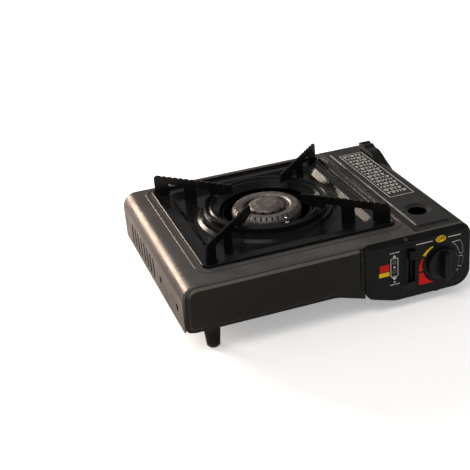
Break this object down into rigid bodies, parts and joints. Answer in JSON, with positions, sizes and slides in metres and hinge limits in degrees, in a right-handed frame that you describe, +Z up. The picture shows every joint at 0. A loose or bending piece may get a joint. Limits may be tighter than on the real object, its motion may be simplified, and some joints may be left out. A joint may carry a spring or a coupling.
{
  "type": "butane cassette stove",
  "caption": "Portable single-burner gas stove with a lift-off drip pan, four pan supports, a hinged cartridge lid, an ignition knob and a cartridge lock lever.",
  "frame": {"origin": "on the table under the middle of the stove's bounding box", "axes": "+X right along the front, -Y towards the user's side with the knob, +Z up"},
  "size_m": [0.34, 0.2976, 0.113],
  "materials": {
    "body_paint": "semi-gloss charcoal enamel paint",
    "front_panel_paint": "semi-gloss black-brown paint",
    "lid_paint": "satin black paint",
    "control_panel_paint": "satin black moulding with plain printed marks",
    "enamel": "glossy black stove enamel",
    "plated_steel": "zinc-plated sheet, dull",
    "bright_steel": "bright plated",
    "cast_alloy": "as-cast, matt",
    "burner_iron": "dark grey as-cast, heat-dulled",
    "brass": "turned",
    "black_plastic": "fine-grained black moulding",
    "cam_plastic": "off-white nylon",
    "rubber": "matt black",
    "lead_sleeve": "red silicone sleeve",
    "ceramic": "white glazed"
  },
  "bodies": {
    "housing": {"body_shell": "body_paint", "base_tray": "body_paint", "front_panel": "front_panel_paint", "control_panel": "control_panel_paint", "front_frame": "plated_steel", "heat_shield": "plated_steel", "cartridge_rails": "plated_steel", "lever_guide_pin": "plated_steel", "lid_hinge_brackets": "plated_steel", "lid_hinge_pins": "plated_steel", "burner_bracket": "plated_steel", "electrode_bracket": "plated_steel", "regulator_cover": "plated_steel", "back_screws": "bright_steel", "foot_screws": "bright_steel", "regulator_screws": "bright_steel", "burner_screws": "bright_steel", "control_panel_screw": "bright_steel", "electrode_tip": "bright_steel", "knob_spring": "bright_steel", "regulator_body": "cast_alloy", "cartridge_socket": "cast_alloy", "burner_base": "cast_alloy", "mixing_tube": "cast_alloy", "burner_head": "burner_iron", "burner_cap": "burner_iron", "gas_nozzle": "brass", "gas_outlet": "brass", "lever_guide": "black_plastic", "piezo_igniter": "cam_plastic", "foot_front_left": "rubber", "foot_back_left": "rubber", "foot_front_right": "rubber", "foot_back_right": "rubber", "socket_seal": "rubber", "igniter_lead": "lead_sleeve", "electrode": "ceramic"},
    "lid": {"cartridge_lid": "lid_paint", "lid_grip": "black_plastic"},
    "pan": {"drip_pan": "enamel", "wind_ring": "enamel", "pan_support_front_left": "enamel", "pan_support_front_right": "enamel", "pan_support_back_left": "enamel", "pan_support_back_right": "enamel"},
    "knob": {"knob": "black_plastic", "valve_spindle": "bright_steel", "ignition_cam": "cam_plastic"},
    "plunger": {"piezo_plunger": "cam_plastic"},
    "lever": {"lock_lever": "plated_steel", "lever_button": "black_plastic"},
    "clamp": {"cartridge_clamp": "plated_steel", "clamp_pins": "plated_steel"}
  },
  "joints": [
    {"name": "lid_hinge", "type": "hinge", "parent": "housing", "child": "lid", "pos_m": [0.107, 0.0082, 0.085], "axis": [0, -1, 0], "range_deg": [0, 95]},
    {"name": "pan_lift", "type": "slide", "parent": "housing", "child": "pan", "axis": [0, 0, 1], "range_m": [0, 0.06]},
    {"name": "knob_turn", "type": "hinge", "parent": "housing", "child": "knob", "pos_m": [0.133, -0.1348, 0.047], "axis": [0, -1, 0], "range_deg": [0, 135]},
    {"name": "plunger_slide", "type": "slide", "parent": "housing", "child": "plunger", "axis": [0, 0, -1], "range_m": [0, 0.005]},
    {"name": "lever_slide", "type": "slide", "parent": "housing", "child": "lever", "axis": [0, 0, -1], "range_m": [0, 0.03]},
    {"name": "clamp_slide", "type": "slide", "parent": "housing", "child": "clamp", "axis": [0, -1, 0], "range_m": [0, 0.006]}
  ],
  "couplings": [
    {"joint": "plunger_slide", "follows": "knob_turn", "m_per_rad": 0.002122},
    {"joint": "clamp_slide", "follows": "lever_slide", "ratio": 0.2}
  ]
}
